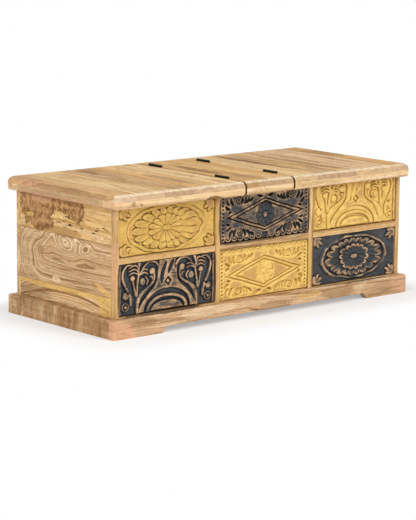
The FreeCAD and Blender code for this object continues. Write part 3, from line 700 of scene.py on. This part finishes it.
def carve_arch(block, seed):
    """An arch with a pierced column above it, and a palm with fruit under a scroll at each side."""
    foot = -block.half_height + 4.5
    drop = foot + 59.7
    above = block.z - foot

    def under(half_x, half_z):
        """How far inside a half oval that stands on the foot each spot lies."""
        share = 1 - np.hypot(block.x / half_x, above / half_z)
        return share * half_z * (1 + np.abs(block.x) / half_x * 0.6)

    block.raised(np.minimum(under(51, 23), above + 1), -0.45, 4.0)
    block.raised(np.minimum(np.minimum(under(66, 38), -under(55, 29.5)), above + 2), face_level, 3.8)
    outline = np.interp(block.z - drop, (-62, -50, -35, -15, 0, 12, 40, 64),
                        (98, 89, 78, 58, 40, 32, 29, 25))
    pillar = np.minimum(outline - np.abs(block.x), -under(73, 51))
    block.raised(np.minimum(pillar, above + 2), face_level - 0.1, 3.0)
    for width, depth, *points in (
            (13, 4.4, (-18, 4), (-15, 30), (-4, 60)),
            (13, 4.4, (2, 27), (10, 46), (20, 62)),
            (7, 4.0, (24, 38), (24, 50), (27, 60))):
        block.gouge([(x, z + drop) for x, z in points], width, depth)
    block.sunk((1 - np.abs(block.x - 2) / 12 - np.abs(block.z - 9 - drop) / 13) * 9, 4.4, 3.0)
    block.raised((1 - np.abs(block.x - 2) / 6 - np.abs(block.z - 9 - drop) / 7) * 4, -0.8, 2.0)
    frond = (6, 5.5, 5, 3.5)
    for side in (-1, 1):
        def there(points):
            return [(side * x, z + drop) for x, z in points]

        for widths, *points in (
                ((4, 6, 7, 9, 17, 13, 9),
                 (40, 34), (40, 18), (50, 6), (68, -5), (86, -20), (93, -38), (94, -60)),
                ((10, 6, 6), (97, -16), (94, 8), (89, 36)),
                ((8, 5, 5), (99, -14), (104, 4), (107, 18)),
                ((7, 6, 6, 5, 4), (27, 48), (36, 58), (51, 62), (67, 57), (79, 46)),
                (frond, (88, 33), (95, 54), (107, 57), (121, 51)),
                (frond, (88, 33), (97, 46), (108, 48), (120, 43)),
                (frond, (88, 33), (98, 38), (108, 40), (119, 35)),
                (frond, (88, 33), (80, 42), (72, 45), (62, 43)),
                (frond, (88, 33), (79, 36), (71, 37), (61, 33)),
                ((4, 6, 4), (68, 26), (61, 17), (65, 7)),
                ((4, 5, 4), (53, 25), (47, 24), (46, 18)),
                ((4, 6, 7, 7, 7, 8, 11, 6),
                 (112, 59), (126, 58), (137, 46), (138, 28), (130, 8), (121, -8), (115, -24), (114, -40))):
            block.ridge(there(points), widths)
        block.ridge(there([(92, 42), (88, 60)]), (5, 10), face_level - 0.3)
        for x, z, radius in (
                (47, 38, 9.5), (77, 15, 10.0), (108, 26, 7.6), (129, -16, 10.5), (130, -43, 12.0)):
            block.knob((side * x, z + drop), radius)
        block.gouge(there([(119, -5), (124, -10), (128, -8)]), 6, 4.0)
        block.ring_cut((side * 130, -43 + drop), 6.0, 5.0, 3.4)
        block.ridge(there([(147, -60), (147, 0), (147, 60)]), (3.6, 3.6), -0.5)


def carve_panel(node, carve, upside_down, paint_fill, wear, seed):
    """Carves one block in its opening and puts it in place of the plain one."""
    low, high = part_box(node)
    block = Carving((high.x - low.x) * to_mm, (high.z - low.z) * to_mm, seed)
    if upside_down:
        block.z = -block.z
    carve(block, seed)
    if paint_fill:
        block.height = softened(block.height, paint_fill)
    marks = block.worn_edges(seed, paint_fill)
    # Where thick paint fills the cuts, they get less grime and painted shade.
    marks["grime_and_shade"] *= 1 - 0.4 * paint_fill
    marks["worn"] *= wear
    bpy.ops.mesh.primitive_grid_add(
        x_subdivisions=block.columns, y_subdivisions=block.rows, size=1, rotation=(math.pi / 2, 0, 0),
        location=((low.x + high.x) / 2, low.y, (low.z + high.z) / 2))
    panel = bpy.context.object
    panel.name = "carved_" + node
    panel.scale = (high.x - low.x, high.z - low.z, 1)
    bpy.ops.object.transform_apply()
    places = np.empty(len(panel.data.vertices) * 3)
    panel.data.vertices.foreach_get("co", places)
    places = places.reshape(-1, 3)
    places[:, 1] = low.y - block.height.ravel() / to_mm
    panel.data.vertices.foreach_set("co", places.ravel())
    for mark, values in marks.items():
        panel.data.attributes.new(mark, "FLOAT", "POINT").data.foreach_set("value", values.ravel())
    bpy.ops.object.mode_set(mode="EDIT")
    bpy.ops.mesh.select_all(action="SELECT")
    bpy.ops.mesh.region_to_loop()
    bpy.ops.mesh.extrude_edges_move()
    bpy.ops.transform.resize(value=(1, 0, 1), center_override=(0, high.y, 0))
    bpy.ops.mesh.edge_face_add()
    bpy.ops.object.mode_set(mode="OBJECT")
    bpy.ops.object.shade_smooth_by_angle(angle=math.radians(50))
    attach(panel, "carcass")
    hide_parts(node)
    return panel


def painted(name, paint, shade, grime_and_shade, thin, bare, grime_and_shade_from, rubbed):
    """Paint over carved wood, darker with grime and painted shade in the hollows and at the rim, thin or
    gone where worn.
    """
    material, shader, place = new_finish(name)

    def mark(attribute):
        return place.node("ShaderNodeAttribute", {"attribute_name": attribute}, {}, "Fac")

    brushed = place.moved((0.16, 1, 1)).noise(260.0, 3.0, 0.6)
    patchy = place.noise(30.0, 5.0, 0.68)
    speck = place.noise(420.0, 2.0, 0.6)
    coat = (patchy * 0.6 + brushed * 0.4).between(0.40, 0.60).blend(paint, shade)
    # Darker colour in the hollows and at the rim: partly grime in the cuts, partly painted shade.
    coat = (mark("grime_and_shade").between(grime_and_shade_from, grime_and_shade_from + 0.6) * 0.9).blend(coat, grime_and_shade)
    wear = mark("worn") + (patchy - 0.5) * 1.9 + (brushed - 0.5) * 0.8 + (speck - 0.5) * 0.3
    thinned = wear.between(rubbed - 0.30, rubbed + 0.10)
    gone = wear.between(rubbed + 0.02, rubbed + 0.34)
    grain = brushed.between(0.36, 0.64).blend(bare, toned(bare, 1.2))
    grain = (place.noise(24.0, 3.0, 0.6).between(0.42, 0.60) * 0.6).blend(grain, thin)
    finish = (gone * 0.85).blend((thinned * 0.75).blend(coat, thin), grain)
    shader.inputs["Specular IOR Level"].default_value = 0.3
    feed(shader, Base_Color=finish, Roughness=0.52 + gone * 0.1 + speck * 0.12,
         Normal=(brushed * 0.5 + speck * 0.3 - gone * 0.35).bump(0.4, 0.0005))
    return material


# Each paint's third colour is that of its hollows: grime and painted shade.
dull_ochre = painted("dull_ochre_paint", colour(206, 168, 89), colour(190, 150, 76), colour(76, 46, 18),
                     colour(182, 140, 80), colour(166, 124, 78), grime_and_shade_from=0.14, rubbed=0.50)
ochre = painted("ochre_paint", colour(228, 191, 108), colour(208, 168, 88), colour(134, 91, 38),
                colour(196, 153, 86), colour(174, 132, 80), grime_and_shade_from=0.10, rubbed=0.75)
black = painted("black_paint", colour(48, 51, 55), colour(64, 65, 67), colour(18, 19, 22),
                colour(120, 98, 76), colour(186, 150, 114), grime_and_shade_from=0.10, rubbed=0.71)
for node, carve, paint, upside_down, paint_fill, wear, seed in (
        ("panel_upper_left", carve_rosette, dull_ochre, False, 0.3, 1.25, 61),
        ("panel_upper_centre", carve_lozenge, black, False, 0, 0.92, 62),
        ("panel_upper_right", carve_arch, ochre, False, 0.4, 0.92, 63),
        ("panel_lower_left", carve_arch, black, False, 0, 1.0, 64),
        ("panel_lower_centre", carve_lozenge, ochre, True, 0.9, 1.3, 65),
        ("panel_lower_right", carve_rosette, black, False, 0, 1.15, 66)):
    panel = carve_panel(node, carve, upside_down, paint_fill, wear, seed)
    panel.data.materials.append(paint)
    "black_paint" if paint == black else "ochre_paint"


# Inside of the chest
# A thin backing closes the front behind the panels. The floor rests on cleats, and square blocks
# are glued into the corners; all of it is sawn wood that was never finished.
sawn_light = colour(214, 180, 134)
sawn_tan = colour(192, 154, 108)
dress_in_timber("front_backing", "X", 71, sawn_light, sawn_tan, ring=0.014)
dress_in_timber("bottom_panel", "X", 72, sawn_light, sawn_tan, ring=0.016, pith=(0.1, -0.2))
dress_in_timber("bottom_cleats", "X", 73, sawn_light, sawn_tan)
dress_in_timber("corner_blocks", "Z", 74, sawn_light, sawn_tan)


# Top
# Boards with the grain from front to back are glued on edge strips with the grain lengthwise, and
# the edges of each of the three slabs are then planed round as a whole. The middle one is fixed on
# two bearers; the outer two are lids, battened below.
top_round = 0.015
bottom_round = 0.009
corner_round = 0.014
seam_round = 0.006
round_steps = 8
saw_play = 0.0001


def planing(side, depth, level, outer_end):
    """How far an edge of a slab is rounded, by the side, depth and level at which it lies."""
    if not level:
        return corner_round if side == outer_end else 0
    if depth or side == outer_end:
        return top_round if level > 0 else bottom_round
    return seam_round if outer_end and level < 0 else 0


def glued_slab(part, boards, outer_end):
    """A slab of the top before it is sawn up, and its two corners."""
    low = Vector((*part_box(f"{part}_board_1")[0].xy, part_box(f"{part}_strip_front")[0].z))
    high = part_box(f"{part}_board_{boards}")[1]
    bpy.ops.mesh.primitive_cube_add(size=1, location=(low + high) / 2)
    slab = bpy.context.object
    weights = slab.data.attributes.new("bevel_weight_edge", "FLOAT", "EDGE")
    for edge, weight in zip(slab.data.edges, weights.data):
        ends = [slab.data.vertices[end].co for end in edge.vertices]
        side, depth, level = (round(place) for place in ends[0] + ends[1])
        weight.value = planing(side, depth, level, outer_end) / top_round
    slab.scale = high - low
    bpy.ops.object.transform_apply()
    plane = slab.modifiers.new("plane", "BEVEL")
    plane.limit_method = "WEIGHT"
    plane.width = top_round
    plane.segments = round_steps
    bpy.ops.object.modifier_apply(modifier=plane.name)
    return slab, low, high


def copied(model, name):
    """A copy of a modelled piece, with a mesh of its own."""
    copy = model.copy()
    copy.data = model.data.copy()
    copy.name = name
    bpy.context.collection.objects.link(copy)
    return copy


def saw_out(slab, slab_low, slab_high, node, body, finish):
    """Saws one board or strip out of its slab and puts it in place of the plain one."""
    low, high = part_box(node)
    piece = copied(slab, "planed_" + node)
    bpy.ops.object.select_all(action="DESELECT")
    piece.select_set(True)
    bpy.context.view_layer.objects.active = piece
    bpy.ops.object.mode_set(mode="EDIT")
    for axis in range(3):
        for cut, limit, facing in ((low[axis], slab_low[axis], -1), (high[axis], slab_high[axis], 1)):
            if abs(cut - limit) > saw_play:
                away = Vector()
                away[axis] = facing
                bpy.ops.mesh.select_all(action="SELECT")
                bpy.ops.mesh.bisect(plane_co=away * facing * cut, plane_no=away,
                                    use_fill=True, clear_outer=True)
    bpy.ops.mesh.select_all(action="SELECT")
    bpy.ops.mesh.normals_make_consistent(inside=False)
    bpy.ops.object.mode_set(mode="OBJECT")
    bpy.ops.object.shade_smooth_by_angle(angle=math.radians(30))
    piece.data.materials.append(finish)
    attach(piece, body)
    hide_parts(node)


top_heart = colour(184, 136, 88)
pale = (colour(246, 210, 156), colour(230, 189, 132))
beige = (colour(232, 192, 141), colour(210, 167, 116))
golden = (colour(242, 195, 130), colour(220, 171, 108))
brownish = (colour(246, 203, 150), colour(224, 179, 128))
rosy = (colour(244, 204, 160), colour(230, 187, 142))
centre_low, centre_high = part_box("centre_board_1")
top_level = centre_high.z
strip_level = centre_low.z
front_edge = centre_low.y
# Painted highlight: a pale band along the top of each board's rounded front arris, where the round-over
# faces the light.
arris_highlight_inset = 0.008
arris_highlight_reach = (0.5, 0.009, 0.006)
arris_painted_highlight = colour(244, 219, 186)
end_grain_reach = (0.5, 0.020, 0.013)
end_pale = colour(212, 184, 154)
end_beige = colour(200, 168, 134)
end_tan = colour(206, 172, 130)
end_brown = colour(176, 138, 96)
end_grey = colour(184, 152, 120)
# Painted shade: a dark mark on the side faces of the boards and strips at each seam, near the front, where
# the gap between the slabs lies in shadow.
seam_shade_reach = (0.0013, 0.022, 0.03)
# Of each board: its tones, how much of it is heartwood, its seed, the tone of its end, its stains
left_tones = (
    (beige, 0.45, 81, end_pale,
     ((-0.50, 0.12, top_level), (0.03, 0.12, 0.03), mango_pink, 0.6, 0.8),
     ((-0.50, -0.04, 0.342), (0.010, 0.20, 0.009), mango_grey, 0.7, 2.4)),
    (pale, 0.35, 82, end_beige,
     ((-0.458, front_edge, 0.3445), (0.0035, 0.006, 0.003), mango_brown, 0.9, 0.3)),
    (beige, 0.55, 83, end_grey,
     ((-0.30, 0.15, top_level), (0.012, 0.05, 0.02), mango_brown, 0.5, 0.8)),
    (golden, 0.45, 84, end_beige,
     ((-0.21, -0.06, top_level), (0.02, 0.10, 0.02), mango_brown, 0.3, 2.0)),
    (pale, 0.25, 85, end_beige,
     ((-0.178, front_edge, 0.343), (0.009, 0.006, 0.0025), mango_pore, 0.8, 0.9)))
centre_tones = (
    (golden, 0.50, 86, end_brown,
     ((-0.045, 0.01, top_level), (0.012, 0.09, 0.02), mango_brown, 0.6, 2.2)),
    (golden, 0.45, 87, end_grey,
     ((-0.036, 0.03, top_level), (0.014, 0.10, 0.02), mango_brown, 0.6, 2.6),
     ((-0.020, -0.16, top_level), (0.03, 0.05, 0.02), mango_grey, 0.5, 3.0)))
right_tones = (
    (pale, 0.20, 88, end_tan),
    (brownish, 0.60, 89, end_grey,
     ((0.22, -0.03, top_level), (0.03, 0.10, 0.02), mango_gold, 0.5, 3.0),
     ((0.175, 0.06, top_level), (0.014, 0.14, 0.02), mango_brown, 0.6, 2.4),
     ((0.275, -0.02, top_level), (0.012, 0.18, 0.02), mango_brown, 0.55, 1.8)),
    (rosy, 0.25, 90, end_tan,
     ((0.33, 0.08, top_level), (0.010, 0.10, 0.02), mango_brown, 0.35, 1.8)),
    (golden, 0.50, 91, end_beige,
     ((0.50, 0.10, top_level), (0.03, 0.14, 0.03), mango_brown, 0.5, 1.2)))
# Pale strip tones, raised a little as painted light on the strips' rounded lower edges.
strip_light = colour(232, 199, 154)
strip_tan = colour(218, 182, 136)
strip_stains = {
    "lid_left_strip_front": (
        ((-0.190, front_edge, 0.315), (0.026, 0.03, 0.010), mango_brown, 0.8, 1.6),
        ((-0.445, front_edge, 0.327), (0.007, 0.01, 0.007), mango_grey, 0.7, 1.2),
        ((-0.421, front_edge, 0.323), (0.004, 0.01, 0.003), mango_brown, 0.7, 0.8),
        ((-0.50, front_edge, 0.315), (0.02, 0.05, 0.05), mango_pink, 0.5, 0.8)),
    "lid_left_strip_end": (
        ((-0.50, 0.04, 0.329), (0.02, 0.24, 0.010), mango_grey, 0.6, 2.2),
        ((-0.50, 0.0, 0.315), (0.02, 0.30, 0.010), mango_pink, 0.6, 1.2)),
}
for number, (part, body, outer_end, tones) in enumerate((
        ("lid_left", "lid_left", -1, left_tones),
        ("centre", "carcass", 0, centre_tones),
        ("lid_right", "lid_right", 1, right_tones))):
    slab, slab_low, slab_high = glued_slab(part, len(tones), outer_end)
    seam_sides = [corner.x for corner, end in ((slab_low, -1), (slab_high, 1)) if end != outer_end]
    # Painted shade down the side faces at each seam, near the front edge.
    seam_painted_shade = [((side, front_edge, strip_level), seam_shade_reach, mango_pore, 0.9, 0.4)
                 for side in seam_sides]
    for order, ((light, tan), heartwood, seed, end_tone, *stains) in enumerate(tones, 1):
        node = f"{part}_board_{order}"
        low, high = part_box(node)
        middle = (low.x + high.x) / 2
        # Each board's stains: a painted highlight along its front arris, the tone of its end grain, its own
        # stains, and painted shade down a seam at its side.
        stains = (((middle, low.y + arris_highlight_inset, high.z), arris_highlight_reach, arris_painted_highlight, 0.85, 0.7),
                  ((middle, low.y, low.z), end_grain_reach, end_tone, 0.9, 0.5),
                  *stains,
                  *(shade_mark for shade_mark in seam_painted_shade if low.x - saw_play < shade_mark[0][0] < high.x + saw_play))
        heart_place = (low.x * 0.6 + high.x * 0.4, 0.28 + 0.03 * (seed % 3))
        finish = timber(node + "_wood", "Y", seed, light, tan, top_heart, heartwood, ring=0.010, lines=0.58,
                        pith=heart_place, wander=0.08, stains=stains)
        saw_out(slab, slab_low, slab_high, node, body, finish)
    for order, end in enumerate(("front", "rear", "end") if outer_end else ("front", "rear")):
        node = f"{part}_strip_{end}"
        # Each strip's stains, with painted shade at a seam.
        finish = timber(node + "_wood", "Y" if end == "end" else "X", 101 + 5 * number + order, strip_light,
                        strip_tan, heartwood=0.25, ring=0.009, pith=(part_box(node)[0].y, 0.9),
                        stains=(*strip_stains.get(node, ()), *seam_painted_shade))
        saw_out(slab, slab_low, slab_high, node, body, finish)
    bpy.data.objects.remove(slab)
for seed, node in enumerate(("centre_bearers", "lid_left_batten", "lid_right_batten"), 121):
    dress_in_timber(node, "Y", seed, sawn_light, sawn_tan)


# Hinges
# Four butt hinges of black iron sit in the two seams, with the barrels proud of the top. Each leaf
# is screwed to the edge of a board by two countersunk screws with a slot.
def blackened_iron(name):
    material, shader, place = new_finish(name)
    blotch = place.noise(180.0, 4.0, 0.6)
    grit = place.noise(1900.0, 2.0, 0.6)
    shine = (blotch * 0.7 + grit * 0.3).between(0.52, 0.74)
    rust = place.noise(320.0, 3.0, 0.6).between(0.60, 0.72)
    iron = shine.blend(colour(34, 30, 30), colour(74, 64, 60))
    iron = (rust * 0.55).blend(iron, colour(92, 58, 40))
    shader.inputs["Metallic"].default_value = 0.75
    feed(shader, Base_Color=iron, Roughness=0.62 - shine * 0.2 + rust * 0.15,
         Normal=(grit * 0.6 + blotch * 0.4).bump(0.4, 0.0003))
    return material


iron = blackened_iron("hinge_iron")
dress(iron, "hinge_leaves_fixed", "hinge_leaves_left", "hinge_leaves_right", "hinge_pins")
screw_radius = 0.0024
slot_half = 0.00035
slot_depth = 0.0008
head_depth = 0.0012
head_proud = 0.00012
head_taper = 0.55
bpy.ops.mesh.primitive_circle_add(vertices=24, radius=screw_radius, fill_type="NGON")
screw = bpy.context.object
bpy.ops.object.mode_set(mode="EDIT")
for edge in (-slot_half, slot_half):
    bpy.ops.mesh.select_all(action="SELECT")
    bpy.ops.mesh.bisect(plane_co=(0, edge, 0), plane_no=(0, 1, 0))
bpy.ops.mesh.select_all(action="SELECT")
bpy.ops.mesh.region_to_loop()
bpy.ops.mesh.extrude_edges_move()
bpy.ops.transform.translate(value=(0, 0, -head_depth))
bpy.ops.transform.resize(value=(head_taper, head_taper, 1), center_override=(0, 0, 0))
bpy.ops.mesh.edge_face_add()
bpy.ops.object.mode_set(mode="OBJECT")
for face in screw.data.polygons:
    face.select = face.normal.z > 0.9 and abs(face.center.y) < slot_half / 2
bpy.ops.object.mode_set(mode="EDIT")
bpy.ops.mesh.select_mode(type="FACE")
bpy.ops.mesh.extrude_region_move()
bpy.ops.transform.translate(value=(0, 0, -slot_depth))
bpy.ops.mesh.select_mode(type="VERT")
bpy.ops.object.mode_set(mode="OBJECT")
screw.data.materials.append(blackened_iron("screw_iron"))
leaf_thickness = 0.0016
hinge_length = 0.050
screw_inset = 0.011
screw_rise = 0.0055
turn_per_metre = 40
for body, leaves, board, facing in (
        ("lid_left", "hinge_leaves_left", "lid_left_board_5", 1),
        ("lid_right", "hinge_leaves_right", "lid_right_board_1", -1),
        ("carcass", "hinge_leaves_fixed", "centre_board_1", -1),
        ("carcass", "hinge_leaves_fixed", "centre_board_2", 1)):
    board_low, board_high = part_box(board)
    edge = board_high.x if facing > 0 else board_low.x
    low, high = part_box(leaves)
    for start in (low.y, high.y - hinge_length):
        for reach in (screw_inset, hinge_length - screw_inset):
            copy = copied(screw, f"{leaves}_screw_{round((edge + start + reach) * to_mm)}")
            spot = (edge + facing * (leaf_thickness + head_proud), start + reach, low.z + screw_rise)
            copy.data.transform(Matrix.Translation(spot)
                                @ Matrix.Rotation(facing * math.pi / 2, 4, "Y")
                                @ Matrix.Rotation(reach * turn_per_metre, 4, "Z"))
            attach(copy, body)
bpy.data.objects.remove(screw)


# Studio
# A white floor that keeps a soft shadow, an even white surround, two large soft lamps in front and a
# smaller low one. The camera stands where the photograph was taken.
floor_size = 60
floor_grey = 0.92
white = (1, 1, 1, 1)
shadow_near = 0.02
shadow_far = 0.16
shadow_glow = 0.35
sky_light = 0.505
lamp_aim = Vector((0, 0, 0.2))
bpy.ops.mesh.primitive_plane_add(size=floor_size, location=(0, 0, 0))
floor = bpy.context.object
floor.name = "studio_floor"
floor_white, floor_shader, floor_place = new_finish("floor_white")
floor_shader.inputs["Base Color"].default_value = (floor_grey, floor_grey, floor_grey, 1)
floor_shader.inputs["Roughness"].default_value = 1.0
floor_shader.inputs["Specular IOR Level"].default_value = 0.0
glow = floor_place.node("ShaderNodeEmission", {}, {"Color": white, "Strength": 1.0})


def in_view(value):
    """1 for what the camera sees, also by way of a reflection or through glass."""
    seen, mirrored, through = (value.node("ShaderNodeLightPath", {}, {}, f"Is {kind} Ray")
                               for kind in ("Camera", "Glossy", "Transmission"))
    return seen.maths("MAXIMUM", mirrored.maths("MAXIMUM", through))


def beyond(letter, half):
    """How far past the sides of the chest a place on the floor lies, along one axis."""
    return (floor_place.axis(letter).maths("ABSOLUTE") - half).maths("MAXIMUM", 0.0)


away = (beyond("X", cad_box[1].x) ** 2 + beyond("Y", cad_box[1].y) ** 2) ** 0.5
lit = away.between(shadow_near, shadow_far) * (1 - shadow_glow) + shadow_glow
mixed = floor_place.node("ShaderNodeMixShader", {},
                         {0: in_view(floor_place) * lit, 1: Shade(floor_shader.outputs[0]), 2: glow})
floor_nodes = floor_white.node_tree
floor_nodes.links.new(mixed.socket, floor_nodes.nodes["Material Output"].inputs["Surface"])
floor.data.materials.append(floor_white)

world = bpy.context.scene.world or bpy.data.worlds.new("studio")
bpy.context.scene.world = world
world.use_nodes = True
sky = world.node_tree.nodes["Background"]
sky.inputs["Color"].default_value = white
sky_shown = in_view(Shade(sky.outputs[0]))
world.node_tree.links.new((sky_light + (1 - sky_light) * sky_shown).socket, sky.inputs["Strength"])
for name, spot, size, power in (
        ("lamp_left", (-3.9, -1.9, 3.0), 2.6, 126),
        ("lamp_right", (1.6, -4.2, 2.8), 2.4, 86),
        ("lamp_low", (-2.2, -3.6, 0.4), 1.8, 42)):
    lamp = bpy.data.lights.new(name, "AREA")
    lamp.size = size
    lamp.energy = power
    holder = bpy.data.objects.new(name, lamp)
    bpy.context.collection.objects.link(holder)
    holder.location = spot
    holder.rotation_euler = (lamp_aim - Vector(spot)).to_track_quat("-Z", "Y").to_euler()

camera = bpy.data.objects.new("camera", bpy.data.cameras.new("camera"))
bpy.context.collection.objects.link(camera)
camera.data.lens = 143.64
camera.data.sensor_width = 36
camera.data.clip_end = 100
camera_place = (-3.489325, -4.047207, 1.079886)
camera_heading, camera_tilt, camera_roll = 40.624, -10.280, 0.553
camera.matrix_world = (Matrix.Translation(camera_place)
                       @ Matrix.Rotation(math.radians(-camera_heading), 4, "Z")
                       @ Matrix.Rotation(math.radians(90 + camera_tilt), 4, "X")
                       @ Matrix.Rotation(math.radians(camera_roll), 4, "Z"))
bpy.context.scene.camera = camera
bpy.context.scene.view_settings.view_transform = "Standard"
